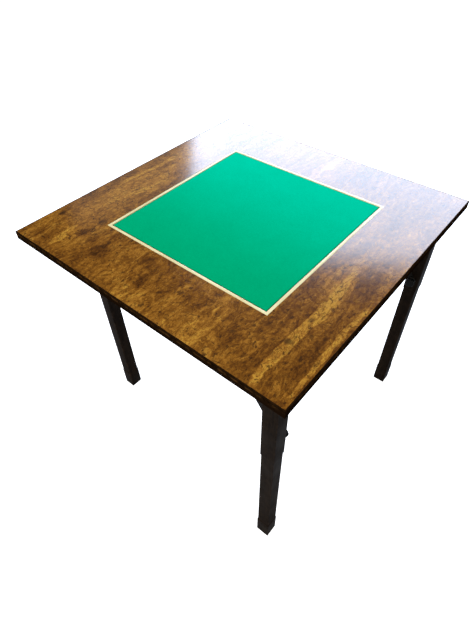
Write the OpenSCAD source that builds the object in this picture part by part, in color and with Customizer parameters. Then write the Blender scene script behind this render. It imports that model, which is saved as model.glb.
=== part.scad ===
// Square folding games table: a veneered top with an inlaid cloth panel stands on four wooden legs.
// Each leg swings on a bolt in a steel bracket under the top. A flat steel stay reaches from the
// underside to a stud on the leg, where a hand knob clamps its hooked end.
// The origin is on the floor under the middle of the top, and +Z points up.

/* [Top] */
// Side of the square top
top_size = 800; // [720:10:960]
// Height of the top surface above the floor
table_height = 735; // [600:5:900]
// Thickness of the core board
core_thickness = 18; // [15:0.5:24]
// Thickness of the decorative veneer on the core board
veneer_thickness = 0.8; // [0.6:0.1:1.4]

/* [Edge moulding] */
// Depth of the edge moulding, measured down from the top surface
edge_depth = 22.5; // [20:0.5:40]
// Width of the edge moulding
edge_width = 3; // [2.5:0.5:14]
// Radius of the upper outer arris
edge_top_radius = 1.5; // [0.5:0.5:2.5]
// Radius of the lower outer arris
edge_bottom_radius = 2.5; // [1:0.5:2.5]

/* [Playing panel] */
// Side of the square of cloth
cloth_size = 469; // [390:1:560]
// Thickness of the cloth
cloth_thickness = 0.9; // [0.6:0.1:1.6]
// Depth of the cloth's face below the top surface
cloth_drop = 0.3; // [0:0.1:1]
// Thickness of the board that carries the cloth
board_thickness = 2.4; // [1.5:0.1:4]
// Width of the open groove round the cloth
groove_width = 1.5; // [0.5:0.1:3]
// Width of the pale inlaid strip
inlay_width = 7.5; // [4:0.5:15]
// Thickness of the pale inlaid strip
inlay_thickness = 3; // [2:0.1:4.5]

/* [Legs] */
// Section of the full-size block at the head of a leg
block_section = 38.5; // [32:0.5:48]
// Section of the relieved shaft
shaft_section = 35.5; // [28:0.5:48]
// Section of the block foot
foot_section = 38; // [30:0.5:50]
// Height of the block foot's upper shoulder above the floor
foot_height = 75; // [40:1:140]
// Length of the slope between a shoulder and the shaft
shoulder_slope = 3; // [1:0.5:8]
// Distance from the knob down to the lower end of the head block
block_below_knob = 42; // [25:1:70]
// Distance from the edge of the top in to the centres of the wide pair of legs
leg_inset = 53; // [50.5:0.5:110]
// How much further in each leg of the narrow pair stands, so that it folds up beside the wide pair
narrow_step = 108; // [100:1:220]

/* [Leg hinge] */
// Diameter of the pivot bolt
bolt_diameter = 8; // [6:0.5:10]
// Extra radius of the leg's rounded head over half the block's section
head_extra = 2.75; // [1.5:0.25:6]
// Thickness of the bracket's steel
bracket_steel = 2; // [1.5:0.5:3]
// Radius of the rounded cheek round the bolt
cheek_radius = 12; // [9:0.5:16]
// Half width of a cheek where it meets the bracket's plate
cheek_root = 22; // [16:0.5:26]
// Distance from the bolt's axis to each row of bracket screws
bracket_screw_reach = 32.5; // [31:0.5:33.5]
// Distance from a row of screws to the end of the bracket's plate
bracket_margin = 6.5; // [5:0.5:7]
// Distance between the two screws of a row
bracket_screw_spacing = 26; // [16:1:30]

/* [Stay] */
// Distance from the top surface down to the knob
knob_drop = 245; // [225:1:300]
// Horizontal distance from a leg's centre to its stay's upper pin
stay_reach = 145; // [110:1:175]
// Distance from the underside of the core board down to the stay's upper pin
stay_pin_drop = 11.2; // [10.5:0.1:12]
// Width of the flat bar
stay_width = 16; // [12:0.5:16]
// Thickness of the flat bar
stay_thickness = 3; // [2:0.5:4]
// Radius of the rounded hook end
hook_radius = 11; // [9:0.5:12]
// Diameter of the stay's upper pin
rivet_diameter = 5; // [4:0.5:6]
// Distance from the upper pin's ear to the middle of its screws
ear_screw_reach = 13; // [10:1:18]
// Distance between the two screws of an ear
ear_screw_spacing = 24; // [22:1:32]

/* [Knob and stud] */
// Diameter of the stud
stud_diameter = 6; // [5:0.5:6]
// Depth of the stud in the leg
stud_depth = 24; // [12:1:28]
// Thickness of the stud's hexagonal collar
collar_thickness = 2; // [1:0.5:3]
// Width across the corners of the stud's hexagonal collar
collar_width = 14; // [10:0.5:18]
// Diameter of the knob over its lobes
knob_diameter = 27; // [22:1:32]
// Length of the knob
knob_length = 16.5; // [10:0.5:20]
// Number of flutes round the knob
knob_flutes = 8; // [5:1:10]
// Radius of a flute
flute_radius = 4; // [2:0.5:5]
// Depth of a flute
flute_depth = 1.4; // [0.4:0.1:2]
// Diameter of the washer under the knob
washer_diameter = 20; // [14:1:24]
// Thickness of the washer under the knob
washer_thickness = 1.5; // [1:0.5:2]

/* [Feet] */
// Diameter of the glide under each leg
glide_diameter = 26; // [16:1:30]
// Thickness of the glide under each leg
glide_thickness = 1.5; // [1.5:0.5:6]

/* [Clearances] */
// Gap between faces that slide past each other
running_gap = 0.3; // [0.3:0.1:0.6]
// Radial gap round pins, bolts and screws
pin_gap = 0.05; // [0.03:0.01:0.1]

/* [Hidden] */
$fn = 64;
half_top = top_size / 2;
core_half = half_top - edge_width;
veneer_base = table_height - veneer_thickness;
core_base = veneer_base - core_thickness;
cloth_half = cloth_size / 2;
well_half = cloth_half + groove_width;
inlay_half = well_half + inlay_width;
cloth_base = table_height - cloth_drop - cloth_thickness;
board_base = cloth_base - board_thickness;
inlay_base = table_height - inlay_thickness;

plate_base = core_base - bracket_steel;
leg_top = plate_base - running_gap;
block_half = block_section / 2;
head_radius = block_half + head_extra;
pivot_z = leg_top - head_radius;
block_base = table_height - knob_drop - block_below_knob;
leg_reach = half_top - leg_inset;
narrow_reach = leg_reach - narrow_step;
cheek_inside = block_half + running_gap;
cheek_outside = cheek_inside + bracket_steel;
bracket_half = bracket_screw_reach + bracket_margin;

knob_z = table_height - knob_drop;
stay_pin_z = core_base - stay_pin_drop;
stay_dz = stay_pin_z - knob_z;
stay_length = sqrt(stay_reach * stay_reach + stay_dz * stay_dz);
stay_lean = atan2(stay_reach, stay_dz);
// The stay swings from its lean past the upright to level while its leg swings through a right angle.
// The mouth faces the way in which the stud leaves the hook, turned a little for the curve of that way.
swing_ratio = (90 + stay_lean) / 90;
leaves_x = swing_ratio * stay_dz - (pivot_z - knob_z);
leaves_z = swing_ratio * stay_reach;
mouth_turn = 1.1;
mouth_angle = atan2(leaves_z, leaves_x) - stay_lean + mouth_turn;
stay_y = block_half + collar_thickness + running_gap;
washer_y = stay_y + stay_thickness + running_gap;
knob_y = washer_y + washer_thickness + running_gap;
stud_in_knob = 10;
stud_tip_y = knob_y + stud_in_knob;
stud_end_gap = 1;
knob_skirt = 5;
knob_crown = 2;
ear_y = stay_y + stay_thickness + running_gap;
ear_margin = 6;

bolt_head_length = 4;
bolt_head_diameter = 16;
bolt_end = 1.5;
nut_length = 6.5;
nut_width = 15;
screw_diameter = 4;
screw_head_diameter = 8;
screw_length = 14;
screw_hole_depth = screw_length - bracket_steel + 1;
rivet_head_diameter = 9;
rivet_head_length = 1.2;
glide_pin_diameter = 3;
glide_pin_length = 15;
glide_chamfer = 0.8;
small = 0.01;

dark_wood = [0.13, 0.10, 0.09];
burl = [0.50, 0.33, 0.15];
cream = [0.90, 0.87, 0.72];
green = [0.02, 0.62, 0.42];
steel = [0.55, 0.55, 0.56];
black = [0.06, 0.06, 0.06];

// The four corners: +1 or -1 along X, then along Y. The right pair stands wide, the left pair narrow.
FRONT_RIGHT = [1, -1];
BACK_RIGHT = [1, 1];
BACK_LEFT = [-1, 1];
FRONT_LEFT = [-1, -1];
CORNERS = [FRONT_RIGHT, BACK_RIGHT, BACK_LEFT, FRONT_LEFT];
function leg_y(corner) = corner[1] * (corner[0] > 0 ? leg_reach : narrow_reach);

// Puts a piece drawn for a leg at the origin on one corner. Drawn like that, a leg folds towards -X,
// and its knob is on its +Y face.
module at_corner(corner) {
    translate([corner[0] * leg_reach, leg_y(corner), 0])
        mirror([corner[0] < 0 ? 1 : 0, 0, 0])
        mirror([0, corner[1] > 0 ? 1 : 0, 0])
        children();
}

// Extrudes an outline drawn in X and Z from y0 along +Y.
module along_y(y0, length) {
    translate([0, y0 + length, 0]) rotate([90, 0, 0]) linear_extrude(length) children();
}

// A rod along +Y.
module rod_y(y0, length, diameter) {
    translate([0, y0, 0]) rotate([-90, 0, 0]) cylinder(h = length, d = diameter);
}

// Turns side 0 (front) to the other three sides of the square.
module on_side(side) {
    rotate([0, 0, 90 * side]) children();
}

// A square plate centred on the Z axis.
module square_plate(half, z0, thickness) {
    translate([-half, -half, z0]) cube([2 * half, 2 * half, thickness]);
}

// Plan of one mitred strip on the front side, from half size "inner" out to half size "outer".
module mitred_plan(inner, outer) {
    polygon([[-outer, -outer], [outer, -outer], [inner, -inner], [-inner, -inner]]);
}

// ---- Top ----

module screw_hole_in_core() {
    translate([0, 0, core_base - small]) cylinder(h = screw_hole_depth, d = screw_diameter + 2 * pin_gap);
}

module screw_holes_in_core() {
    for (corner = CORNERS) at_corner(corner) {
        bracket_screw_places() screw_hole_in_core();
        ear_screw_places() screw_hole_in_core();
    }
}

module top_core() {
    color(burl * 0.8) difference() {
        square_plate(core_half, core_base, core_thickness);
        square_plate(inlay_half, inlay_base, core_thickness);
        square_plate(well_half, board_base, core_thickness);
        screw_holes_in_core();
    }
}

module top_veneer() {
    color(burl) difference() {
        square_plate(core_half, veneer_base, veneer_thickness);
        square_plate(inlay_half, veneer_base - 1, veneer_thickness + 2);
    }
}

// Section of the edge moulding: its back is at x = 0 and its foot at y = 0.
module edge_section() {
    middle = edge_depth - edge_bottom_radius - edge_top_radius;
    translate([0, edge_bottom_radius]) square([edge_width, middle]);
    square([edge_width - edge_bottom_radius, edge_bottom_radius + small]);
    translate([0, edge_depth - edge_top_radius - small])
        square([edge_width - edge_top_radius, edge_top_radius + small]);
    translate([edge_width - edge_bottom_radius, edge_bottom_radius]) circle(r = edge_bottom_radius);
    translate([edge_width - edge_top_radius, edge_depth - edge_top_radius]) circle(r = edge_top_radius);
}

module edge_moulding(side) {
    color(dark_wood) on_side(side) intersection() {
        translate([0, 0, table_height - edge_depth]) linear_extrude(edge_depth)
            mitred_plan(core_half, half_top);
        translate([-half_top, -core_half, table_height - edge_depth])
            rotate([90, 0, 90]) linear_extrude(top_size) mirror([1, 0]) edge_section();
    }
}

module inlay(side) {
    color(cream) on_side(side) translate([0, 0, inlay_base])
        linear_extrude(inlay_thickness) mitred_plan(well_half, inlay_half);
}

module cloth_board() {
    color([0.45, 0.33, 0.22]) square_plate(cloth_half, board_base, board_thickness);
}

module cloth() {
    color(green) square_plate(cloth_half, cloth_base, cloth_thickness);
}

// ---- Legs ----

// Half outline of a leg seen along either horizontal axis, without its shaped head.
function leg_steps() = let (
        foot = foot_section / 2,
        shaft = shaft_section / 2,
        shoulder = foot_height,
        collar = block_base
    ) [[foot, glide_thickness], [foot, shoulder - shoulder_slope], [shaft, shoulder],
       [shaft, collar], [block_half, collar + shoulder_slope], [block_half, leg_top]];

function mirrored(points) = concat(points, [for (i = [len(points) - 1:-1:0]) [-points[i][0], points[i][1]]]);

// The head is round on the side that turns up towards the board, and square on the side that stops it.
module head_cut() {
    difference() {
        translate([-block_half - 1, pivot_z]) square([block_half + 1, head_radius + 1]);
        translate([0, pivot_z]) circle(r = head_radius);
    }
}

module leg(corner) {
    color(dark_wood) at_corner(corner) difference() {
        intersection() {
            along_y(-block_section, 2 * block_section) difference() {
                polygon(mirrored(leg_steps()));
                head_cut();
            }
            rotate([0, 0, 90]) along_y(-block_section, 2 * block_section) polygon(mirrored(leg_steps()));
        }
        translate([0, 0, pivot_z]) rod_y(-block_section, 2 * block_section, bolt_diameter + 2 * pin_gap);
        translate([0, 0, knob_z]) rod_y(block_half - stud_depth, block_section, stud_diameter + 2 * pin_gap);
        translate([0, 0, glide_thickness - small])
            cylinder(h = glide_pin_length + 1, d = glide_pin_diameter + 2 * pin_gap);
    }
}

module glide(corner) {
    radius = glide_diameter / 2;
    pin = glide_pin_diameter / 2;
    color(black) at_corner(corner) rotate_extrude()
        polygon([[0, 0], [radius - glide_chamfer, 0], [radius, glide_chamfer], [radius, glide_thickness],
            [pin, glide_thickness], [pin, glide_thickness + glide_pin_length],
            [0, glide_thickness + glide_pin_length]]);
}

// ---- Leg hinge ----

module countersunk_screw(top_z) {
    head = (screw_head_diameter - screw_diameter) / 2;
    translate([0, 0, top_z]) rotate_extrude()
        polygon([[0, 0], [screw_head_diameter / 2, 0], [screw_diameter / 2, head],
            [screw_diameter / 2, screw_length], [0, screw_length]]);
}

module countersunk_hole(top_z) {
    head = (screw_head_diameter - screw_diameter) / 2;
    translate([0, 0, top_z]) rotate_extrude()
        polygon([[0, -1], [screw_head_diameter / 2 + pin_gap, -1], [screw_head_diameter / 2 + pin_gap, 0],
            [screw_diameter / 2 + pin_gap, head], [screw_diameter / 2 + pin_gap, screw_length],
            [0, screw_length]]);
}

module bracket_screw_places() {
    for (x = [-bracket_screw_reach, bracket_screw_reach])
        for (y = [-bracket_screw_spacing / 2, bracket_screw_spacing / 2])
            translate([x, y, 0]) children();
}

module cheek_outline() {
    polygon([[-cheek_root, core_base], [cheek_root, core_base],
        [cheek_radius, pivot_z], [-cheek_radius, pivot_z]]);
    translate([0, pivot_z]) circle(r = cheek_radius);
}

module leg_bracket(corner) {
    color(steel) at_corner(corner) difference() {
        union() {
            translate([-bracket_half, -cheek_outside, plate_base])
                cube([2 * bracket_half, 2 * cheek_outside, bracket_steel]);
            along_y(cheek_inside, bracket_steel) cheek_outline();
            along_y(-cheek_outside, bracket_steel) cheek_outline();
        }
        translate([0, 0, pivot_z]) rod_y(-block_section, 2 * block_section, bolt_diameter + 2 * pin_gap);
        bracket_screw_places() countersunk_hole(plate_base);
    }
}

module bracket_screws() {
    color(steel) for (corner = CORNERS) at_corner(corner)
        bracket_screw_places() countersunk_screw(plate_base);
}

module pivot_bolt(corner) {
    head = -cheek_outside - bolt_head_length;
    color(steel) at_corner(corner) translate([0, 0, pivot_z]) {
        rod_y(head, bolt_head_length, bolt_head_diameter);
        rod_y(-cheek_outside - small, 2 * cheek_outside + nut_length + bolt_end, bolt_diameter);
    }
}

module pivot_nuts() {
    color(steel) for (corner = CORNERS) at_corner(corner) translate([0, cheek_outside, pivot_z])
        rotate([-90, 0, 0]) difference() {
            cylinder(h = nut_length, d = nut_width, $fn = 6);
            translate([0, 0, -1]) cylinder(h = nut_length + 2, d = bolt_diameter + 2 * pin_gap);
        }
}

// ---- Stay ----

// The bar lies along -Z from its upper pin at the origin, with the hook's mouth on its +X side.
module stay_outline() {
    difference() {
        union() {
            circle(d = stay_width);
            translate([-stay_width / 2, -stay_length]) square([stay_width, stay_length]);
            translate([0, -stay_length]) circle(r = hook_radius);
        }
        circle(d = rivet_diameter + 2 * pin_gap);
        translate([0, -stay_length]) {
            slot = stud_diameter + 2 * running_gap;
            circle(d = slot);
            rotate(mouth_angle) translate([0, -slot / 2]) square([3 * hook_radius, slot]);
        }
    }
}

module stay(corner) {
    color(steel) at_corner(corner) translate([-stay_reach, 0, stay_pin_z])
        rotate([0, -stay_lean, 0]) along_y(stay_y, stay_thickness) stay_outline();
}

module ear_screw_places() {
    for (x = [-ear_screw_spacing / 2, ear_screw_spacing / 2])
        translate([-stay_reach + x, ear_y + ear_screw_reach, 0]) children();
}

module stay_ear(corner) {
    depth = ear_screw_reach + ear_margin;
    half = ear_screw_spacing / 2 + ear_margin;
    color(steel) at_corner(corner) difference() {
        union() {
            translate([-stay_reach - half, ear_y, plate_base]) cube([2 * half, depth, bracket_steel]);
            along_y(ear_y, bracket_steel) translate([-stay_reach, 0]) {
                translate([-stay_width / 2, stay_pin_z]) square([stay_width, core_base - stay_pin_z]);
                translate([0, stay_pin_z]) circle(d = stay_width);
            }
        }
        translate([-stay_reach, 0, stay_pin_z]) rod_y(0, 2 * block_section, rivet_diameter + 2 * pin_gap);
        ear_screw_places() countersunk_hole(plate_base);
    }
}

module ear_screws() {
    color(steel) for (corner = CORNERS) at_corner(corner)
        ear_screw_places() countersunk_screw(plate_base);
}

module stay_rivets() {
    shank = stay_thickness + 2 * running_gap + bracket_steel;
    color(steel) for (corner = CORNERS) at_corner(corner) translate([-stay_reach, 0, stay_pin_z]) {
        rod_y(stay_y - running_gap - rivet_head_length, rivet_head_length, rivet_head_diameter);
        rod_y(stay_y - running_gap - small, shank + 2 * small, rivet_diameter);
        rod_y(stay_y - running_gap + shank, rivet_head_length, rivet_head_diameter);
    }
}

// ---- Knob ----

module stud(corner) {
    color(steel) at_corner(corner) translate([0, 0, knob_z]) {
        translate([0, block_half, 0]) rotate([-90, 0, 0])
            cylinder(h = collar_thickness, d = collar_width, $fn = 6);
        rod_y(block_half - stud_depth + stud_end_gap, stud_tip_y - block_half + stud_depth - stud_end_gap,
            stud_diameter);
    }
}

module washer(corner) {
    color(steel) at_corner(corner) translate([0, 0, knob_z]) difference() {
        rod_y(washer_y, washer_thickness, washer_diameter);
        rod_y(washer_y - 1, washer_thickness + 2, stud_diameter + 2 * pin_gap);
    }
}

module knob(corner) {
    radius = knob_diameter / 2;
    color(black) at_corner(corner) translate([0, knob_y, knob_z]) rotate([-90, 0, 0]) difference() {
        rotate_extrude() polygon([[0, 0], [washer_diameter / 2, 0], [radius, knob_skirt],
            [radius, knob_length - knob_crown], [radius - knob_crown, knob_length], [0, knob_length]]);
        for (i = [0:knob_flutes - 1]) rotate(360 / knob_flutes * i)
            translate([radius + flute_radius - flute_depth, 0, -1]) cylinder(h = knob_length + 2, r = flute_radius);
        translate([0, 0, -1]) cylinder(h = stud_in_knob + stud_end_gap + 1, d = stud_diameter + 2 * pin_gap);
    }
}

top_core();
top_veneer();
edge_moulding(0);  // edge_front
edge_moulding(1);  // edge_right
edge_moulding(2);  // edge_back
edge_moulding(3);  // edge_left
inlay(0);  // inlay_front
inlay(1);  // inlay_right
inlay(2);  // inlay_back
inlay(3);  // inlay_left
cloth_board();
cloth();
leg(FRONT_RIGHT);  // leg_front_right
leg(BACK_RIGHT);  // leg_back_right
leg(BACK_LEFT);  // leg_back_left
leg(FRONT_LEFT);  // leg_front_left
leg_bracket(FRONT_RIGHT);  // leg_bracket_front_right
leg_bracket(BACK_RIGHT);  // leg_bracket_back_right
leg_bracket(BACK_LEFT);  // leg_bracket_back_left
leg_bracket(FRONT_LEFT);  // leg_bracket_front_left
pivot_bolt(FRONT_RIGHT);  // pivot_bolt_front_right
pivot_bolt(BACK_RIGHT);  // pivot_bolt_back_right
pivot_bolt(BACK_LEFT);  // pivot_bolt_back_left
pivot_bolt(FRONT_LEFT);  // pivot_bolt_front_left
pivot_nuts();
bracket_screws();
stay(FRONT_RIGHT);  // stay_front_right
stay(BACK_RIGHT);  // stay_back_right
stay(BACK_LEFT);  // stay_back_left
stay(FRONT_LEFT);  // stay_front_left
stay_ear(FRONT_RIGHT);  // stay_ear_front_right
stay_ear(BACK_RIGHT);  // stay_ear_back_right
stay_ear(BACK_LEFT);  // stay_ear_back_left
stay_ear(FRONT_LEFT);  // stay_ear_front_left
stay_rivets();
ear_screws();
stud(FRONT_RIGHT);  // stud_front_right
stud(BACK_RIGHT);  // stud_back_right
stud(BACK_LEFT);  // stud_back_left
stud(FRONT_LEFT);  // stud_front_left
washer(FRONT_RIGHT);  // washer_front_right
washer(BACK_RIGHT);  // washer_back_right
washer(BACK_LEFT);  // washer_back_left
washer(FRONT_LEFT);  // washer_front_left
knob(FRONT_RIGHT);  // knob_front_right
knob(BACK_RIGHT);  // knob_back_right
knob(BACK_LEFT);  // knob_back_left
knob(FRONT_LEFT);  // knob_front_left
glide(FRONT_RIGHT);  // glide_front_right
glide(BACK_RIGHT);  // glide_back_right
glide(BACK_LEFT);  // glide_back_left
glide(FRONT_LEFT);  // glide_front_left
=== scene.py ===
# %% [markdown]
# # A square folding games table
# This file is a lesson in small steps. It dresses the engineering model of a folding table: a veneered
# top with a green cloth let into it, four dark legs that swing up on bolts, and the steel stays and
# hand knobs that hold them. The engineering model is the fixed frame, so every place comes from it.
# %% Load the frame
import math

import bmesh
import bpy
from mathutils import Matrix, Vector, noise


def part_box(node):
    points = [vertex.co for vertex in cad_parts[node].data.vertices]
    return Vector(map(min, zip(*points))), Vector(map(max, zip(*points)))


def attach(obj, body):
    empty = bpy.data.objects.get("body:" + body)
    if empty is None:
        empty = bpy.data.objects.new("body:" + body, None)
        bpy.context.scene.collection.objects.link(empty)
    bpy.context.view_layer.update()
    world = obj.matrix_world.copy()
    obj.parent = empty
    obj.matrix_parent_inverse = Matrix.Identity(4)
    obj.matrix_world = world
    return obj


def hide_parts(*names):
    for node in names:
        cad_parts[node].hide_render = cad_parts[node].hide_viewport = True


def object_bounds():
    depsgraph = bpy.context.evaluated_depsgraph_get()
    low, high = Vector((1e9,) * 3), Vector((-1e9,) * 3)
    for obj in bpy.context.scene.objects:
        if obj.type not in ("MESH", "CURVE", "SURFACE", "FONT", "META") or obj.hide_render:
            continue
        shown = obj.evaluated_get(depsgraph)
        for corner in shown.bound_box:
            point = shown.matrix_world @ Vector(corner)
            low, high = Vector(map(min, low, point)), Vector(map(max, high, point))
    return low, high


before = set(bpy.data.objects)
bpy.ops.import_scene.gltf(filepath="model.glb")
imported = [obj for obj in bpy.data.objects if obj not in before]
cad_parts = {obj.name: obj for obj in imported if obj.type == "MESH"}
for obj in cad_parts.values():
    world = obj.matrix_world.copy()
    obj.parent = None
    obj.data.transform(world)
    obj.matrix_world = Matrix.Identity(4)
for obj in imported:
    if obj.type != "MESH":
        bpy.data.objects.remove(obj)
cad_low, cad_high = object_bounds()
print("engineering box:", [round(v, 4) for v in (*cad_low, *cad_high)])
# %% [markdown]
# ## Where things are
# The frame tells where each piece is. The four corners are named as in the engineering model: a sign
# along X and a sign along Y. Knowing the signs, one drawing of a leg, stay or knob does for all four.
# The frame is in metres, and small sizes read better in millimetres, so MM turns one into the other.
# %% Corners and levels
CORNERS = {
    "front_right": (1, -1),
    "back_right": (1, 1),
    "back_left": (-1, 1),
    "front_left": (-1, -1),
}
SIDES = ("front", "right", "back", "left")
MM = 0.001
half_top = cad_high.x
print("top surface at", round(cad_high.z, 4), "m, half width", round(half_top, 4), "m")


def middle(node):
    low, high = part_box(node)
    return (low + high) / 2


# %% [markdown]
# ## The camera
# The table is seen from above its nearest corner. A camera needs a place, a direction and a slight
# roll. A matrix made from the three view axes gives all of these at once, and is easy to check.
# %% Camera
def view_matrix(place, aim, roll_degrees):
    back = (place - aim).normalized()
    right = Vector((0, 0, 1)).cross(back).normalized()
    up = back.cross(right)
    axes = Matrix((right, up, back)).transposed()
    rolled = axes @ Matrix.Rotation(math.radians(roll_degrees), 3, "Z")
    return Matrix.Translation(place) @ rolled.to_4x4()


camera_place = Vector((0.6096, -0.7609, 1.3955))
camera_aim = Vector((0.2057, -0.2908, 0.735))
camera_roll = -1.31
camera = bpy.data.objects.new("camera", bpy.data.cameras.new("camera"))
camera.data.lens = 26.06
camera.data.clip_end = 60
camera.matrix_world = view_matrix(camera_place, camera_aim, camera_roll)
bpy.context.scene.collection.objects.link(camera)
bpy.context.scene.camera = camera
print("camera to aim:", round((camera_place - camera_aim).length, 3), "m")
# %% [markdown]
# ## Building shaders from nodes
# A finish is a small tree of nodes joined by links. It could be clicked together by hand, but a tree
# written down can be read, repeated and corrected. Three helpers do the wiring: one starts an empty
# tree, one adds any node with its inputs, and one adds a step of arithmetic.
# %% Node helpers
def plain_tree(name):
    material = bpy.data.materials.new(name)
    material.use_nodes = True
    material.node_tree.nodes.clear()
    return material, material.node_tree


def add(tree, kind, settings=None, **inputs):
    """Adds a node. An input is a value or another node's socket; _ in its name stands for a space."""
    made = tree.nodes.new(kind)
    for name, value in (settings or {}).items():
        setattr(made, name, value)
    for name, value in inputs.items():
        socket = made.inputs[name.replace("_", " ")]
        if isinstance(value, bpy.types.NodeSocket):
            tree.links.new(value, socket)
        else:
            socket.default_value = value
    return made


def value_of(tree, kind, first, second=0.0, third=0.0):
    made = tree.nodes.new("ShaderNodeMath")
    made.operation = kind
    for socket, value in zip(made.inputs, (first, second, third)):
        if isinstance(value, bpy.types.NodeSocket):
            tree.links.new(value, socket)
        else:
            socket.default_value = value
    return made.outputs[0]


print("node helpers ready")
# %% [markdown]
# ## Floor
# The table stands on a plain white floor. A real white floor would throw so much light up that the
# dark legs and edges look grey, so this one has two brightnesses. What the camera sees directly is
# white and glows a little, and what lights or mirrors in the table is a dim grey.
# %% Floor
floor_grey, floor_white, floor_glow = 0.30, 0.80, 0.92
floor = bpy.data.objects.new("floor", bpy.data.meshes.new("floor"))
floor_sheet = bmesh.new()
bmesh.ops.create_circle(floor_sheet, cap_ends=True, segments=96, radius=14)
floor_sheet.to_mesh(floor.data)
floor_sheet.free()
bpy.context.scene.collection.objects.link(floor)
floor_paint, tree = plain_tree("floor_paint")
seen = add(tree, "ShaderNodeLightPath").outputs["Is Camera Ray"]
shade = value_of(tree, "MULTIPLY_ADD", seen, floor_white - floor_grey, floor_grey)
diffuse = add(tree, "ShaderNodeBsdfDiffuse", Color=shade)
lift = value_of(tree, "MULTIPLY", seen, floor_glow)
glow = add(tree, "ShaderNodeEmission", Color=(1, 1, 1, 1), Strength=lift)
both = add(tree, "ShaderNodeAddShader")
tree.links.new(diffuse.outputs[0], both.inputs[0])
tree.links.new(glow.outputs[0], both.inputs[1])
add(tree, "ShaderNodeOutputMaterial", Surface=both.outputs[0])
floor.data.materials.append(floor_paint)
print("floor:", len(floor.data.vertices), "points round,", floor_grey, "in reflections")
# %% [markdown]
# ## Light
# Soft light shows the shapes without hard shadows. The one strong source is a large panel behind the
# table, like a bright window: its reflection veils the far part of the lacquer and leaves the near
# part dark and rich. A faint warm panel beside it stands for the wall, one above the camera fills
# the front, and one on the left lightens the long side. The world is white to the camera, but dim
# as a source and dimmer still in reflections, so the lacquer mirrors the panels and little else.
# %% Lights and world
def soft_panel(name, place, aim, width, height, strength, colour, roll_degrees=0):
    panel = bpy.data.objects.new(name, bpy.data.lights.new(name, "AREA"))
    panel.data.shape = "RECTANGLE"
    panel.data.size, panel.data.size_y = width, height
    panel.data.energy = strength
    panel.data.color = colour
    panel.matrix_world = view_matrix(Vector(place), Vector(aim), roll_degrees)
    panel.visible_camera = False
    bpy.context.scene.collection.objects.link(panel)


soft_panel("window_panel", (-0.79, 2.28, 1.83), (-0.15, 0.0, 0.6), width=2.75, height=1.44, strength=105,
           colour=(0.82, 0.95, 1.21), roll_degrees=9)
soft_panel("wall_panel", (-2.25, 1.45, 1.7), (-0.3, 0.0, 0.7), width=1.3, height=1.3, strength=2.6,
           colour=(1.0, 0.93, 0.86))
soft_panel("fill_panel", (0.9, -2.2, 2.9), (0.0, 0.0, 0.6), width=2.6, height=2.0, strength=95,
           colour=(1.0, 0.97, 0.91))
soft_panel("side_panel", (-2.6, -0.9, 2.3), (0.0, 0.0, 0.4), width=1.6, height=1.6, strength=26,
           colour=(1.0, 0.98, 0.96))

sky_seen, sky_light, sky_mirrored = 1.0, 0.15, 0.03
world = bpy.data.worlds.new("studio")
bpy.context.scene.world = world
world.use_nodes = True
sky = world.node_tree
rays = add(sky, "ShaderNodeLightPath").outputs
strength = value_of(sky, "MULTIPLY_ADD", rays["Is Camera Ray"], sky_seen - sky_light, sky_light)
strength = value_of(sky, "MULTIPLY_ADD", rays["Is Glossy Ray"], sky_mirrored - sky_light, strength)
sky.links.new(strength, sky.nodes["Background"].inputs["Strength"])
sky.nodes["Background"].inputs["Color"].default_value = (1, 1, 1, 1)
bpy.context.scene.view_settings.view_transform = "Standard"
# %% [markdown]
# ## How the finishes are made
# Each finish is a recipe of noise patterns laid over the piece's own place in metres, so grain and
# flecks keep their real size and stay with a leg when it folds. A few short helpers keep the recipes
# readable: stretched places, noise, a soft step between two values, a colour scale, a mix of two
# colours, a bump given as a depth in metres, and the shader that takes them all.
# %% Recipe helpers
def places(tree, stretch=(1, 1, 1), source=None):
    """The piece's own coordinates, scaled so that a figure is drawn out along the grain."""
    if source is None:
        source = add(tree, "ShaderNodeTexCoord").outputs["Object"]
    return add(tree, "ShaderNodeMapping", Vector=source, Scale=stretch).outputs[0]


def mottle(tree, vector, scale, detail, rough, wander=0.0):
    """Noise from 0 to 1. scale is its fineness, detail its layers, rough how strong the fine ones are."""
    return add(tree, "ShaderNodeTexNoise", Vector=vector, Scale=scale, Detail=detail,
               Roughness=rough, Distortion=wander).outputs["Fac"]


def between(tree, value, low, high, to_low=0.0, to_high=1.0):
    """A soft step: to_low where the value is under low, to_high where it is over high."""
    made = add(tree, "ShaderNodeMapRange", {"interpolation_type": "SMOOTHSTEP"})
    for name, number in (("From Min", low), ("From Max", high), ("To Min", to_low), ("To Max", to_high)):
        made.inputs[name].default_value = number
    tree.links.new(value, made.inputs["Value"])
    return made.outputs["Result"]


def scale_of_colours(tree, value, *stops):
    """A colour scale: each stop is (place, red, green, blue)."""
    made = add(tree, "ShaderNodeValToRGB", Fac=value)
    points = made.color_ramp.elements
    while len(points) < len(stops):
        points.new(0.5)
    for point, (place, *colour) in zip(points, stops):
        point.position = place
        point.color = (*colour, 1)
    return made.outputs["Color"]


def tinted(tree, amount, colour_a, colour_b):
    """Mixes two colours: the first at amount 0, the second at 1."""
    made = tree.nodes.new("ShaderNodeMix")
    made.data_type = "RGBA"
    for name, value in ((0, amount), (6, colour_a), (7, colour_b)):
        if isinstance(value, bpy.types.NodeSocket):
            tree.links.new(value, made.inputs[name])
        else:
            made.inputs[name].default_value = (*value, 1) if isinstance(value, tuple) else value
    return made.outputs[2]


def bumped(tree, height, depth):
    return add(tree, "ShaderNodeBump", Height=height, Distance=depth, Strength=1.0).outputs[0]


def surface(tree, **inputs):
    shader = add(tree, "ShaderNodeBsdfPrincipled", **inputs)
    add(tree, "ShaderNodeOutputMaterial", Surface=shader.outputs[0])


print("recipe helpers ready")
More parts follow.
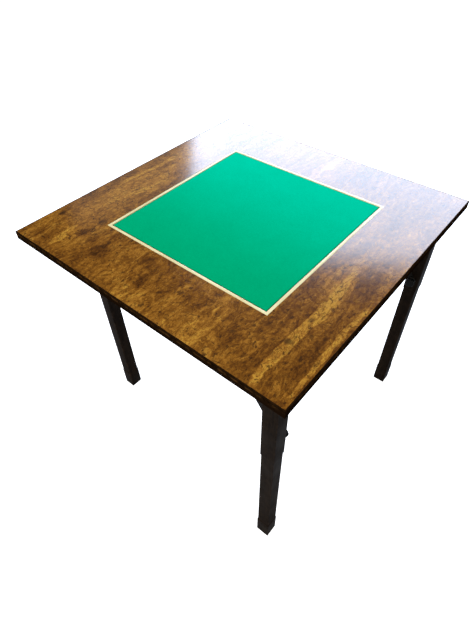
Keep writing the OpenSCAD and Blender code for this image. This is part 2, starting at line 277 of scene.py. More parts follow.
# %% [markdown]
# ## Marks of the burl
# No two sheets of burl are alike, and this one has marks of its own: long golden streaks, lighter and
# darker clouds, and a few dark eyes. Noise alone would put them anywhere, so each mark is written
# down in metres on the top: its place across and along the grain, half its width, half its length,
# and its strength.
# %% Marks
GOLDEN_STREAKS = (
    (0.314, -0.21, 0.013, 0.20, 1.0),
    (0.328, -0.13, 0.010, 0.09, 0.6),
    (0.385, -0.24, 0.0055, 0.15, 0.8),
    (-0.300, -0.335, 0.008, 0.05, 0.7),
    (-0.345, -0.36, 0.006, 0.05, 0.6),
    (-0.36, 0.05, 0.007, 0.16, 0.5),
    (0.02, 0.33, 0.012, 0.10, 0.6),
    (-0.22, 0.34, 0.010, 0.09, 0.5),
)
GOLDEN_CLOUDS = (
    (-0.307, -0.337, 0.045, 0.045, 0.5),
    (-0.060, -0.372, 0.050, 0.035, 1.3),
    (0.010, -0.380, 0.045, 0.030, 0.7),
    (0.125, -0.370, 0.045, 0.040, 1.1),
    (0.195, -0.375, 0.040, 0.030, 0.6),
    (-0.330, 0.04, 0.055, 0.22, 1.0),
    (0.365, -0.355, 0.030, 0.030, 0.8),
    (-0.035, -0.30, 0.030, 0.020, 0.4),
)
DARK_CLOUDS = (
    (-0.181, -0.320, 0.028, 0.024, 1.5),
    (-0.060, -0.280, 0.027, 0.022, 1.3),
    (-0.377, -0.280, 0.015, 0.014, 1.5),
    (-0.261, -0.243, 0.018, 0.014, 1.3),
    (-0.250, -0.300, 0.045, 0.020, 0.6),
    (-0.345, -0.365, 0.030, 0.025, 0.7),
    (-0.031, -0.344, 0.016, 0.016, 0.6),
    (0.096, -0.300, 0.030, 0.030, 0.8),
    (0.340, -0.06, 0.040, 0.06, 0.8),
    (0.355, -0.24, 0.022, 0.12, 0.30),
    (0.27, -0.36, 0.02, 0.05, 0.2),
    (0.25, -0.05, 0.02, 0.10, 0.5),
    (0.30, 0.25, 0.03, 0.12, 0.5),
    (0.10, 0.35, 0.05, 0.06, 0.5),
)
EYES = (
    (0.310, -0.277, 0.0085, 0.0085, 1.0),
    (0.312, -0.202, 0.006, 0.008, 0.8),
    (-0.261, -0.243, 0.012, 0.012, 0.4),
    (-0.377, -0.280, 0.011, 0.011, 0.35),
    (0.220, -0.31, 0.005, 0.006, 0.7),
    (0.335, -0.15, 0.005, 0.007, 0.7),
    (0.345, -0.24, 0.005, 0.006, 0.6),
    (-0.30, 0.22, 0.008, 0.009, 0.8),
    (0.18, 0.31, 0.007, 0.008, 0.8),
)
print("marks:", len(GOLDEN_STREAKS + GOLDEN_CLOUDS + DARK_CLOUDS + EYES))
# %% [markdown]
# ## Burl veneer under lacquer
# The border is a thin veneer with its grain along Y: clouds of golden and dark brown, a fine curly
# figure, thin dark veins, specks and pores. Clouds are wide noise, and the figure is finer noise
# whose places are pushed about by other noise, which curls it as burl grows. Tone adds them all up,
# and one colour scale turns it into wood. A thick clear lacquer lies on top as the shader's coat,
# smooth enough to mirror the window but not quite flat. The wood under it has no gloss of its own.
# %% Veneer recipe
def patches(tree, vector, marks, core, rim):
    """Ovals that wander with the figure, fading between core and rim; their strengths are added up."""
    total = 0.0
    for across, along, half_width, half_length, strength in marks:
        moved = add(tree, "ShaderNodeMapping", {"vector_type": "TEXTURE"}, Vector=vector,
                    Location=(across, along, 0), Scale=(half_width, half_length, 1)).outputs[0]
        parts = add(tree, "ShaderNodeSeparateXYZ", Vector=moved)
        flat = add(tree, "ShaderNodeCombineXYZ", X=parts.outputs[0], Y=parts.outputs[1]).outputs[0]
        reach = add(tree, "ShaderNodeVectorMath", {"operation": "LENGTH"}, Vector=flat).outputs["Value"]
        total = value_of(tree, "ADD", total, between(tree, reach, core, rim, strength, 0.0))
    return total


def swaying(tree, scale, detail, across, along):
    """The piece's coordinates pushed about by noise, which bends whatever is drawn with them."""
    push = add(tree, "ShaderNodeTexNoise", Vector=places(tree, (1, 0.5, 1)), Scale=scale, Detail=detail,
               Roughness=0.62).outputs["Color"]
    push = add(tree, "ShaderNodeVectorMath", {"operation": "SUBTRACT"}, Vector=push)
    push.inputs[1].default_value = (0.5, 0.5, 0.5)
    moved = add(tree, "ShaderNodeVectorMath", {"operation": "MULTIPLY_ADD"}, Vector=push.outputs[0])
    moved.inputs[1].default_value = (across, along, 0)
    tree.links.new(places(tree), moved.inputs[2])
    return moved.outputs[0]


def veins(tree, vector, scale, width):
    """Thin wandering lines: 1 where a noise passes through its middle value, 0 elsewhere."""
    offset = value_of(tree, "SUBTRACT", mottle(tree, vector, scale, 3, 0.55, 0.8), 0.5)
    return between(tree, value_of(tree, "ABSOLUTE", offset), 0.0, width, 1.0, 0.0)


def veneer_finish():
    material, tree = plain_tree("lacquered_burl")
    wide = swaying(tree, 9.0, 5, across=0.10, along=0.12)
    near = swaying(tree, 8.0, 3, across=0.075, along=0.05)
    clouds = mottle(tree, places(tree, (1, 0.5, 1), wide), 7.0, 4, 0.6, 0.3)
    bands = mottle(tree, places(tree, (1, 0.14, 1), wide), 34.0, 5, 0.62, 0.3)
    curl = between(tree, mottle(tree, places(tree, (1, 0.7, 1), wide), 52.0, 6, 0.66, 1.6), 0.36, 0.62)
    grit = between(tree, mottle(tree, places(tree, (1, 0.55, 1), near), 150.0, 4, 0.7, 1.0), 0.34, 0.66)
    fleck = mottle(tree, places(tree, (1, 0.45, 1)), 320.0, 3, 0.75, 0.5)
    flow = between(tree, mottle(tree, places(tree, (1, 0.10, 1), near), 85.0, 4, 0.6, 0.6), 0.34, 0.66)
    streaks = patches(tree, near, GOLDEN_STREAKS, core=0.85, rim=1.08)
    golden = patches(tree, wide, GOLDEN_CLOUDS, core=0.35, rim=1.5)
    dark = patches(tree, near, DARK_CLOUDS, core=0.5, rim=1.3)
    tone = -0.375
    for pattern, share in ((clouds, 0.45), (bands, 0.50), (curl, 0.15), (grit, 0.12), (flow, 0.12),
                           (fleck, 0.38), (streaks, 0.25), (golden, 0.11), (dark, -0.12)):
        tone = value_of(tree, "MULTIPLY_ADD", pattern, share, tone)
    wood = scale_of_colours(
        tree, tone,
        (0.22, 0.045, 0.0145, 0.0015),
        (0.37, 0.115, 0.040, 0.0040),
        (0.50, 0.195, 0.075, 0.0070),
        (0.62, 0.305, 0.129, 0.0150),
        (0.78, 0.480, 0.245, 0.0300),
    )
    lines = value_of(tree, "MAXIMUM", veins(tree, places(tree, (1, 0.6, 1), wide), 36.0, 0.022),
                     veins(tree, places(tree, (1, 0.5, 1), near), 80.0, 0.026))
    broken = between(tree, fleck, 0.38, 0.56)
    lines = value_of(tree, "MULTIPLY", value_of(tree, "MULTIPLY", lines, broken), 0.80)
    wood = tinted(tree, lines, wood, (0.040, 0.013, 0.002))
    specks = mottle(tree, places(tree, (1, 0.7, 1)), 110.0, 3, 0.6, 0.8)
    wood = tinted(tree, between(tree, specks, 0.59, 0.66, 0.0, 0.75), wood, (0.036, 0.013, 0.003))
    eyes = value_of(tree, "MINIMUM", patches(tree, near, EYES, core=0.5, rim=1.3), 1.0)
    wood = tinted(tree, value_of(tree, "MULTIPLY", eyes, 0.75), wood, (0.030, 0.014, 0.004))
    pores = mottle(tree, places(tree, (1, 0.06, 1)), 1500.0, 2, 0.5)
    wood = tinted(tree, between(tree, pores, 0.45, 0.75, 0.0, 0.25), wood, (0.05, 0.022, 0.005))
    ripple = mottle(tree, places(tree), 38.0, 3, 0.5)
    surface(tree, Base_Color=wood, Roughness=0.42, Specular_IOR_Level=0.0,
            Normal=bumped(tree, curl, 0.2 * MM), Coat_Normal=bumped(tree, ripple, 0.12 * MM),
            Coat_Weight=1.0, Coat_Roughness=0.155, Coat_IOR=1.52)
    return material


burl = veneer_finish()
print("veneer recipe:", len(burl.node_tree.nodes), "nodes")
# %% [markdown]
# ## Dark stained wood
# The edge moulding and the legs are hardwood stained almost black. What keeps it from looking like
# plastic is a faint brown grain drawn out along the piece, very little shine, and lighter brown
# places: where hands and floor cloths have rubbed the stain thin, and on the moulding's face a thin
# line that is a painted highlight of its rounded edge. Those places are a number stored on the mesh:
# 1 where they are lightest and 0 where nothing lightens them. Noise breaks them up.
# %% Stained wood recipe
def stained_wood(name, grain, roughness, shine, dark, light, worn_and_highlit):
    material, tree = plain_tree(name)
    fibres = mottle(tree, places(tree, grain), 420.0, 6, 0.65, 0.3)
    bands = mottle(tree, places(tree, grain), 70.0, 4, 0.6, 0.5)
    tone = value_of(tree, "MULTIPLY_ADD", fibres, 0.6, value_of(tree, "MULTIPLY", bands, 0.4))
    wood = scale_of_colours(tree, tone, (0.38, *dark), (0.62, *light))
    wear_and_highlight = add(tree, "ShaderNodeAttribute", {"attribute_name": "wear_and_highlight"}).outputs["Fac"]
    rubbed_and_highlit = between(tree, mottle(tree, places(tree), 60.0, 6, 0.7), 0.42, 0.66)
    rubbed_and_highlit = value_of(tree, "MULTIPLY", value_of(tree, "MULTIPLY", wear_and_highlight, rubbed_and_highlit), 0.6)
    # Lighter brown where the mesh number says so: rubbed wear, and a painted highlight on the moulding's
    # face.
    wood = tinted(tree, rubbed_and_highlit, wood, worn_and_highlit)
    smears = mottle(tree, places(tree), 14.0, 4, 0.6)
    smears = between(tree, smears, 0.3, 0.7, roughness - 0.05, roughness + 0.07)
    surface(tree, Base_Color=wood, Roughness=smears, Specular_IOR_Level=shine,
            Normal=bumped(tree, fibres, 0.12 * MM))
    return material


edge_wood = {
    axis: stained_wood("edge_wood_" + axis, grain, roughness=0.36, shine=0.0, dark=(0.0050, 0.0026, 0.0014),
                       light=(0.0170, 0.0080, 0.0034), worn_and_highlit=(0.17, 0.078, 0.022))
    for axis, grain in (("x", (0.05, 1, 1)), ("y", (1, 0.05, 1)))
}
leg_wood = stained_wood("leg_wood", (1, 1, 0.05), roughness=0.46, shine=0.03, dark=(0.0062, 0.0040, 0.0028),
                        light=(0.0210, 0.0138, 0.0092), worn_and_highlit=(0.065, 0.038, 0.022))
print("stained woods:", [m.name for m in (*edge_wood.values(), leg_wood)])
# %% [markdown]
# ## Pale stringing
# A pale hardwood strip frames the cloth. It is cream with faint streaks along its length and a little
# yellowing, under a thinner lacquer than the veneer's. Strips along X and Y need their streaks turned
# with them, so the recipe is made once for each direction.
# %% Stringing recipe
def stringing_finish(name, grain):
    material, tree = plain_tree(name)
    fibres = mottle(tree, places(tree, grain), 520.0, 5, 0.6)
    ageing = mottle(tree, places(tree), 9.0, 4, 0.6)
    tone = value_of(tree, "MULTIPLY_ADD", ageing, 0.5, value_of(tree, "MULTIPLY", fibres, 0.5))
    wood = scale_of_colours(tree, tone, (0.36, 0.60, 0.50, 0.24), (0.50, 0.71, 0.635, 0.345),
                            (0.66, 0.79, 0.73, 0.44))
    surface(tree, Base_Color=wood, Roughness=0.45, Specular_IOR_Level=0.1, Coat_Weight=0.5,
            Coat_Roughness=0.14, Normal=bumped(tree, fibres, 0.05 * MM))
    return material


stringing = {
    "x": stringing_finish("stringing_x", (0.04, 1, 1)),
    "y": stringing_finish("stringing_y", (1, 0.04, 1)),
}
print("stringing:", list(stringing))
# %% [markdown]
# ## Green cloth
# The panel is covered with a bright green napped cloth. Seen close, short fibres lie in all
# directions, so the colour breaks into tiny lighter and darker flecks, with broader cloudy marks where
# the nap has been brushed. Toward the back the cloth is painted paler and bluer, as if window light
# fell there: a front and a back colour scale are blended along Y, and this is painted light. At the
# cut edge it turns down into the groove, and there its colour is darkened as painted shade of the
# groove. A little sheen lightens it at a low angle, and there is no gloss.
# %% Cloth recipe
def cloth_finish():
    material, tree = plain_tree("green_nap")
    fibre_a = mottle(tree, places(tree, (1, 0.35, 1)), 950.0, 4, 0.7, 1.5)
    fibre_b = mottle(tree, places(tree, (0.35, 1, 1)), 800.0, 4, 0.7, 1.5)
    nap = value_of(tree, "MULTIPLY", value_of(tree, "ADD", fibre_a, fibre_b), 0.5)
    brushed = mottle(tree, places(tree), 16.0, 5, 0.6, 0.6)
    tone = value_of(tree, "MULTIPLY_ADD", brushed, 0.08, value_of(tree, "MULTIPLY", nap, 0.92))
    # Painted light: the front scale is the shaded near half and the back scale the lit far half.
    front = scale_of_colours(tree, tone, (0.34, 0.0, 0.224, 0.086), (0.50, 0.0, 0.318, 0.131),
                             (0.66, 0.0, 0.404, 0.179))
    back = scale_of_colours(tree, tone, (0.34, 0.0, 0.349, 0.186), (0.50, 0.0, 0.487, 0.278),
                            (0.66, 0.0, 0.600, 0.371))
    # Painted light: the front scale turns into the back one between Y -0.26 and 0.26.
    along = add(tree, "ShaderNodeSeparateXYZ", Vector=places(tree)).outputs["Y"]
    green_with_painted_light = tinted(tree, between(tree, along, -0.26, 0.26), front, back)
    # Painted shade: the cloth's colour is darkened over the last 1.4 mm toward its cut edge, where the
    # groove shades it.
    half_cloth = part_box("cloth")[1].x
    off_centre = add(tree, "ShaderNodeVectorMath", {"operation": "ABSOLUTE"}, Vector=places(tree)).outputs[0]
    off_centre = add(tree, "ShaderNodeSeparateXYZ", Vector=off_centre).outputs
    off_centre = value_of(tree, "MAXIMUM", off_centre["X"], off_centre["Y"])
    rim = between(tree, off_centre, half_cloth - 1.4 * MM, half_cloth - 0.7 * MM)
    green_with_painted_light = tinted(tree, value_of(tree, "MULTIPLY", rim, 0.8), green_with_painted_light, (0.0, 0.06, 0.02))
    surface(tree, Base_Color=green_with_painted_light, Roughness=0.95, Specular_IOR_Level=0.0, Sheen_Weight=0.05,
            Sheen_Roughness=0.45, Sheen_Tint=(0.0, 1.0, 0.72, 1), Normal=bumped(tree, nap, 0.6 * MM))
    return material


green_cloth = cloth_finish()
print("cloth recipe:", len(green_cloth.node_tree.nodes), "nodes")
# %% [markdown]
# ## Zinc and enamel
# The fittings are zinc plated, which is grey with a faint warm bloom and fine brush marks. The stays
# and their ears are steel under black enamel with a little dust on it. Both are plain shaders: what
# makes them real is a roughness that is never the same all over.
# %% Zinc and enamel recipes
def zinc_finish():
    material, tree = plain_tree("zinc_plate")
    bloom = mottle(tree, places(tree), 55.0, 5, 0.6, 0.4)
    brushing = mottle(tree, places(tree, (1, 1, 0.08)), 900.0, 3, 0.6)
    colour = scale_of_colours(tree, bloom, (0.35, 0.42, 0.41, 0.38), (0.52, 0.56, 0.55, 0.52),
                              (0.7, 0.60, 0.56, 0.46))
    surface(tree, Base_Color=colour, Metallic=1.0, Roughness=between(tree, bloom, 0.3, 0.7, 0.26, 0.46),
            Normal=bumped(tree, brushing, 0.03 * MM))
    return material


def enamel_finish():
    material, tree = plain_tree("black_enamel")
    peel = mottle(tree, places(tree), 260.0, 3, 0.5)
    dust = mottle(tree, places(tree), 40.0, 6, 0.7)
    colour = scale_of_colours(tree, dust, (0.40, 0.0045, 0.0040, 0.0036), (0.72, 0.015, 0.013, 0.011))
    surface(tree, Base_Color=colour, Roughness=between(tree, dust, 0.35, 0.7, 0.24, 0.42),
            Specular_IOR_Level=0.15, Normal=bumped(tree, peel, 0.06 * MM))
    return material


zinc = zinc_finish()
enamel = enamel_finish()
print("metals:", zinc.name, enamel.name)
# %% [markdown]
# ## Black mouldings and boards
# The hand knobs are glossy black mouldings and the glides dull ones, so one recipe serves both with a
# different roughness. The core's underside is a brown sealed particle board whose chips show through,
# and the cloth's carrier is hardboard. A cell pattern gives each chip its own shade.
# %% Moulding and board recipes
def plastic_finish(name, colour, roughness, texture):
    material, tree = plain_tree(name)
    grime = mottle(tree, places(tree), 120.0, 5, 0.65)
    skin = mottle(tree, places(tree), 700.0, 3, 0.6)
    dusty = tuple(v * 2.4 + 0.004 for v in colour)
    surface(tree, Base_Color=scale_of_colours(tree, grime, (0.42, *colour), (0.75, *dusty)),
            Roughness=between(tree, grime, 0.3, 0.75, roughness, roughness + 0.16),
            Specular_IOR_Level=0.12, Normal=bumped(tree, skin, texture))
    return material


def board_finish(name, chip_scale, dark, mid, pale):
    material, tree = plain_tree(name)
    chips = add(tree, "ShaderNodeTexVoronoi", Vector=places(tree, (1, 0.45, 1)), Scale=chip_scale,
                Randomness=1.0).outputs["Color"]
    chips = add(tree, "ShaderNodeSeparateColor", Color=chips).outputs[0]
    dust = mottle(tree, places(tree), 30.0, 6, 0.7)
    tone = value_of(tree, "MULTIPLY_ADD", chips, 0.45, value_of(tree, "MULTIPLY", dust, 0.55))
    surface(tree, Base_Color=scale_of_colours(tree, tone, (0.25, *dark), (0.5, *mid), (0.8, *pale)),
            Roughness=between(tree, dust, 0.3, 0.7, 0.55, 0.75), Normal=bumped(tree, tone, 0.12 * MM))
    return material


knob_black = plastic_finish("knob_moulding", (0.0055, 0.0055, 0.006), roughness=0.10, texture=0.01 * MM)
glide_black = plastic_finish("glide_moulding", (0.010, 0.009, 0.008), roughness=0.45, texture=0.06 * MM)
core_board = board_finish("sealed_particle_board", 420.0, dark=(0.045, 0.024, 0.012),
                          mid=(0.085, 0.046, 0.024), pale=(0.15, 0.088, 0.05))
carrier_board = board_finish("hardboard", 1500.0, dark=(0.09, 0.05, 0.026), mid=(0.15, 0.09, 0.05),
                             pale=(0.2, 0.13, 0.08))
print("mouldings and boards:", knob_black.name, glide_black.name, core_board.name, carrier_board.name)
# %% [markdown]
# ## Finishes on the pieces that keep their shape
# Flat plates, brackets, bolts, screws and washers already have the right shape in the frame. They
# keep it and get a finish. A small bevel modifier takes the razor edge off the metal and the glides,
# because real edges always catch a thin line of light. The list gives each piece its material, the
# name of its colour slot, and the width of its bevel, if it has one.
# %% Finishes for kept pieces
def finish(piece, material):
    piece.data.materials.clear()
    piece.data.materials.append(material)
    return piece


def ease_edges(piece, width):
    bevel = piece.modifiers.new("eased_edges", "BEVEL")
    bevel.width, bevel.segments, bevel.limit_method = width, 2, "ANGLE"
    bevel.angle_limit = math.radians(40)
    piece.data.set_sharp_from_angle(angle=math.radians(35))


KEPT = {
    "top_core": (core_board, "core_board", 0),
    "top_veneer": (burl, "burl_veneer", 0),
    "cloth_board": (carrier_board, "carrier_board", 0),
    "pivot_nuts": (zinc, "fastener_steel", 0.4 * MM),
    "bracket_screws": (zinc, "fastener_steel", 0),
    "ear_screws": (zinc, "fastener_steel", 0),
    "stay_rivets": (zinc, "fastener_steel", 0.35 * MM),
}
for corner in CORNERS:
    KEPT["leg_bracket_" + corner] = (zinc, "bracket_steel", 0.3 * MM)
    KEPT["pivot_bolt_" + corner] = (zinc, "fastener_steel", 0.6 * MM)
    KEPT["stay_ear_" + corner] = (enamel, "stay_paint", 0.3 * MM)
    KEPT["stud_" + corner] = (zinc, "fastener_steel", 0.25 * MM)
    KEPT["washer_" + corner] = (zinc, "fastener_steel", 0.3 * MM)
    KEPT["glide_" + corner] = (glide_black, "glide_plastic", 0.25 * MM)
for node, (material, slot, bevel) in KEPT.items():
    finish(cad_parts[node], material)
    if bevel:
        ease_edges(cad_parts[node], bevel)
print("finished", len(KEPT), "kept pieces")
# %% [markdown]
# ## Lofting: a piece as a row of sections
# Mouldings, legs and knobs are made by lofting: a closed outline is repeated along a path and each
# outline is joined to the next. It gives clean four-sided faces, and every point knows where it is on
# the section, so its lightening, for wear and for the painted highlight on the moulding, can be
# stored while the mesh is made.
# %% Loft helper
def loft(name, sections, wear_and_highlight_values=None):
    """Joins equal outlines into one solid. The last argument is the lightening at each point of an outline,
    0 to 1: rubbed wear, and on the moulding's face a painted highlight.
    """
    shape = bmesh.new()
    layer = shape.verts.layers.float.new("wear_and_highlight")
    rings = []
    for section in sections:
        ring = [shape.verts.new(point) for point in section]
        for vert, wear_and_highlight in zip(ring, wear_and_highlight_values or [0.0] * len(ring)):
            vert[layer] = wear_and_highlight
        rings.append(ring)
    for ring, following in zip(rings, rings[1:]):
        for i in range(len(ring)):
            j = (i + 1) % len(ring)
            shape.faces.new((ring[i], ring[j], following[j], following[i]))
    shape.faces.new(rings[0][::-1])
    shape.faces.new(rings[-1])
    bmesh.ops.recalc_face_normals(shape, faces=shape.faces)
    for face in shape.faces:
        face.smooth = True
    mesh = bpy.data.meshes.new(name)
    shape.to_mesh(mesh)
    shape.free()
    piece = bpy.data.objects.new(name, mesh)
    bpy.context.scene.collection.objects.link(piece)
    piece.data.set_sharp_from_angle(angle=math.radians(38))
    return piece


def quarter(centre_x, centre_y, radius, start, steps=5):
    """Points on a quarter circle, from a start angle in degrees, going round by 90 degrees."""
    turns = [math.radians(start + 90 * i / steps) for i in range(steps + 1)]
    return [(centre_x + radius * math.cos(t), centre_y + radius * math.sin(t)) for t in turns]


print("loft ready")
# %% [markdown]
# ## Edge moulding
# A dark moulding runs round the top and hides the board's edge. Its upper arris is rounded, its face
# is upright with a shallow hollow, and its lower arris is rounded more. A thin lighter brown line
# along the upper part of the face is a painted highlight of the rounded edge. It could be one ring,
# but a joiner mitres four lengths at the corners, so four lofts end on the mitre plane.
# %% Edge moulding
def moulding_outline(width, depth):
    """Outline of the section as (out from the board, up from the foot), with the lightening at each point:
    wear, and a painted highlight on the face.
    """
    top_arris, foot_arris, hollow = 1.4 * MM, 2.3 * MM, 0.25 * MM
    foot_wear = [0.1, 0.2, 0.2, 0.1, 0.0, 0.0]
    # Painted highlight: the face's numbers lighten a thin line just below the upper arris.
    face_painted_highlight = [0.0, 0.0, 0.0, 0.1, 0.6, 1.0, 0.4]
    top_wear = [0.1] * 6
    points = [(0, 0)]
    points += quarter(width - foot_arris, foot_arris, foot_arris, -90)
    face_low, face_high = foot_arris, depth - top_arris
    for i in range(1, 8):
        share = i / 8
        dip = hollow * math.sin(math.pi * share) ** 2
        points.append((width - dip, face_low + (face_high - face_low) * share))
    points += quarter(width - top_arris, depth - top_arris, top_arris, 0)
    points.append((0, depth))
    return points, [0.0] + foot_wear + face_painted_highlight + top_wear + [0.0]


def edge_piece(side, index):
    low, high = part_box("edge_" + side)
    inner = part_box("top_veneer")[1].x
    points, wear_and_highlight = moulding_outline(half_top - inner, high.z - low.z)
    turn = Matrix.Rotation(math.radians(90 * index), 3, "Z")
    mitre_gap = 0.04 * MM
    stations = 48
    sections = []
    for step in range(stations + 1):
        share = 2 * step / stations - 1
        sections.append([turn @ Vector((share * (inner + out - mitre_gap), -inner - out, low.z + up))
                         for out, up in points])
    piece = loft("edge_moulding_" + side, sections, wear_and_highlight)
    finish(piece, edge_wood["xyxy"[index]])
    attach(piece, "table_top")
    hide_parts("edge_" + side)
    return high.z - low.z


depths = [edge_piece(side, index) for index, side in enumerate(SIDES)]
print("mouldings:", len(depths), "lengths,", round(depths[0] * 1000, 1), "mm deep")
# %% [markdown]
# ## Stringing round the cloth
# The pale strip is let in flush with the veneer and mitred at its corners. Sanding leaves its top a
# little crowned and its long arrises soft, which is what gives each strip its own thin highlight.
# %% Stringing
def stringing_piece(side, index):
    low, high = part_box("inlay_" + side)
    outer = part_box("inlay_right")[1].x
    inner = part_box("inlay_right")[0].x
    width, ease, crown, mitre_gap = outer - inner, 0.35 * MM, 0.06 * MM, 0.03 * MM
    across = [(0, low.z), (width, low.z)]
    across += [(x + width - ease, z + high.z - ease - crown) for x, z in quarter(0, 0, ease, 0, 3)]
    across += [(width / 2, high.z)]
    across += [(x + ease, z + high.z - ease - crown) for x, z in quarter(0, 0, ease, 90, 3)]
    turn = Matrix.Rotation(math.radians(90 * index), 3, "Z")
    sections = [[turn @ Vector((end * (inner + out - mitre_gap), -inner - out, up)) for out, up in across]
                for end in (-1, 1)]
    piece = loft("stringing_" + side, sections)
    finish(piece, stringing["xyxy"[index]])
    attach(piece, "table_top")
    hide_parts("inlay_" + side)
    return width


widths = [stringing_piece(side, index) for index, side in enumerate(SIDES)]
print("stringing width:", round(widths[0] * 1000, 1), "mm")
# %% [markdown]
# ## The cloth panel
# The cloth is glued flat on its board, so nothing hangs. What tells cloth from paint is its cut edge,
# which turns down softly into the groove, and a surface that is never quite level. A fine grid is
# bent by gentle noise, its rim is rolled down, and a back face closes it into a thin sheet.
# %% Cloth
def cloth_piece():
    low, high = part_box("cloth")
    cells, roll, roll_drop, slack = 156, 1.2 * MM, 0.55 * MM, 0.09 * MM
    size = high.x - low.x
    shape = bmesh.new()
    bmesh.ops.create_grid(shape, x_segments=cells, y_segments=cells, size=size / 2)
    for vert in shape.verts:
        rim = size / 2 - max(abs(vert.co.x), abs(vert.co.y))
        fall = max(0.0, 1 - rim / roll) ** 2 * roll_drop
        wave = noise.noise(vert.co * 40) * 0.05 * MM + noise.noise(vert.co * 210) * 0.04 * MM
        vert.co.z = high.z - slack + wave - fall
    rim_edges = [e for e in shape.edges if e.is_boundary]
    down = bmesh.ops.extrude_edge_only(shape, edges=rim_edges)
    for vert in [v for v in down["geom"] if isinstance(v, bmesh.types.BMVert)]:
        vert.co.z = low.z
    rim_edges = [e for e in shape.edges if e.is_boundary]
    bmesh.ops.edgeloop_fill(shape, edges=rim_edges)
    bmesh.ops.recalc_face_normals(shape, faces=shape.faces)
    for face in shape.faces:
        face.smooth = True
    mesh = bpy.data.meshes.new("cloth_panel")
    shape.to_mesh(mesh)
    shape.free()
    piece = bpy.data.objects.new("cloth_panel", mesh)
    bpy.context.scene.collection.objects.link(piece)
    mesh.set_sharp_from_angle(angle=math.radians(50))
    finish(piece, green_cloth)
    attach(piece, "table_top")
    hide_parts("cloth")
    return size


print("cloth side:", round(cloth_piece() * 1000, 1), "mm")
# %% [markdown]
# ## Legs
# A leg is one length of wood: a full-size block from the head to just under the knob, a shaft taken
# back a little on all four faces, and a block foot. The head is rounded on the side that turns up
# under the board. Sections are rounded squares stacked from the foot up. Near the shoulders they are
# close together, so that the slopes blend as a spindle cutter leaves them.
# %% Leg
ARRIS = 1.4 * MM
ARRIS_WEAR = [0.25, 1.0, 1.0, 0.25] * 4
SHOULDER = 3 * MM


def rounded_square(left, right, half_y):
    centre = (left + right) / 2
    points = []
    for x, y, start in ((right, half_y, 0), (left, half_y, 90), (left, -half_y, 180), (right, -half_y, 270)):
        points += quarter(x - math.copysign(ARRIS, x - centre), y - math.copysign(ARRIS, y), ARRIS, start, 3)
    return points


def blend(share):
    return share * share * (3 - 2 * share)


def leg_sections(foot_half, shaft_half, block_half, levels, head_radius):
    """Sections as (height, left, right, half width across), from the foot up."""
    foot_level, foot_top, shaft_low, shaft_high, block_low, pivot, head_top = levels
    slope_steps, turns = 6, 14
    rows = []
    for lift, inset in ((0, 0.9 * MM), (0.3 * MM, 0.35 * MM), (1.0 * MM, 0)):
        rows.append((foot_level + lift, foot_half - inset))
    for start, end, first, last in ((foot_top, shaft_low, foot_half, shaft_half),
                                    (shaft_high, block_low, shaft_half, block_half)):
        for i in range(slope_steps + 1):
            half = first + (last - first) * blend(i / slope_steps)
            rows.append((start + (end - start) * i / slope_steps, half))
    rows.append((pivot, block_half))
    sections = [(z, -half, half, half) for z, half in rows]
    for i in range(1, turns + 1):
        rise = (head_top - pivot) * math.sin(math.pi / 2 * i / turns)
        left = min(block_half, math.sqrt(max(head_radius ** 2 - rise ** 2, 0.0)))
        sections.append((pivot + rise, -max(left, 2 * ARRIS), block_half, block_half))
    return sections


def leg_piece(corner):
    sx, _ = CORNERS[corner]
    low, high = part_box("leg_" + corner)
    x, y = (low.x + high.x) / 2, (low.y + high.y) / 2
    pivot = middle("pivot_bolt_" + corner).z
    foot_half, shaft_half, block_half = 19 * MM, 17.75 * MM, (high.x - low.x) / 2
    foot_top, below_knob = 72 * MM, 42 * MM
    shaft_high = middle("knob_" + corner).z - below_knob
    levels = (low.z, foot_top, foot_top + SHOULDER, shaft_high, shaft_high + SHOULDER, pivot, high.z)
    sections = []
    for z, left, right, half_y in leg_sections(foot_half, shaft_half, block_half, levels, high.z - pivot):
        outline = rounded_square(left, right, half_y)
        sections.append([Vector((x + sx * px, y + py, z)) for px, py in outline])
    piece = loft("wood_leg_" + corner, sections, ARRIS_WEAR)
    finish(piece, leg_wood)
    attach(piece, "leg_" + corner)
    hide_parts("leg_" + corner)
    return high.z - low.z


lengths = [leg_piece(corner) for corner in CORNERS]
print("leg length:", round(lengths[0] * 1000, 1), "mm")
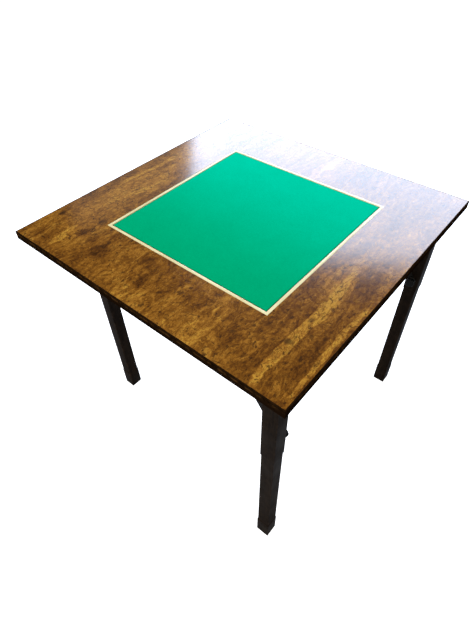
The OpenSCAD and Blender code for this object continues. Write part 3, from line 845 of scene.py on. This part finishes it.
# %% [markdown]
# ## Stays
# Each stay is a flat steel bar with a round upper end and a hook at the lower end. The outline in the
# frame is right, so the bar keeps it and gets eased edges and black enamel.
# %% Stays
for corner in CORNERS:
    bar = finish(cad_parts["stay_" + corner], enamel)
    ease_edges(bar, 0.45 * MM)
print("stays finished:", len(CORNERS))
# %% [markdown]
# ## Hand knobs
# The knob is a glossy moulding with eight soft flutes for the fingers, a narrow skirt that bears on
# the washer, and a domed cap with a shallow ring. A ring of points whose radius swells and shrinks
# as it goes round makes the flutes. Such rings, from skirt to cap, are lofted.
# %% Knob
def knob_piece(corner):
    _, sy = CORNERS[corner]
    low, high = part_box("knob_" + corner)
    length = high.y - low.y
    radius, flutes, flute_depth, points_round = 13.5 * MM, 8, 1.5 * MM, 96
    stud = middle("stud_" + corner)
    base = Vector((stud.x, high.y if sy > 0 else low.y, stud.z))
    outward = Vector((0, -sy, 0))
    profile = (
        # share of the length, share of the radius, depth of the flutes
        (0.00, 0.30, 0.0), (0.00, 0.66, 0.0), (0.02, 0.72, 0.0), (0.10, 0.75, 0.0), (0.22, 0.82, 0.3),
        (0.33, 0.93, 0.8), (0.42, 0.985, 1.0), (0.60, 1.00, 1.0), (0.76, 0.99, 1.0), (0.86, 0.95, 0.9),
        (0.93, 0.88, 0.6), (0.97, 0.79, 0.3), (0.985, 0.70, 0.1), (0.965, 0.64, 0.0), (0.965, 0.60, 0.0),
        (0.985, 0.54, 0.0), (0.995, 0.36, 0.0), (1.00, 0.15, 0.0),
    )
    sections = []
    for along, share, flute in profile:
        centre = base + outward * (length * along)
        ring = []
        for step in range(points_round):
            turn = 2 * math.pi * step / points_round
            valley = (0.5 - 0.5 * math.cos(flutes * turn)) ** 1.6
            reach = radius * share - flute * flute_depth * valley
            ring.append(centre + Vector((reach * math.cos(turn), 0, reach * math.sin(turn))))
        sections.append(ring)
    piece = loft("hand_knob_" + corner, sections)
    piece.data.set_sharp_from_angle(angle=math.radians(60))
    finish(piece, knob_black)
    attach(piece, "knob_" + corner)
    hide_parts("knob_" + corner)
    return radius


print("knob diameter:", round(max(knob_piece(corner) for corner in CORNERS) * 2000, 1), "mm")
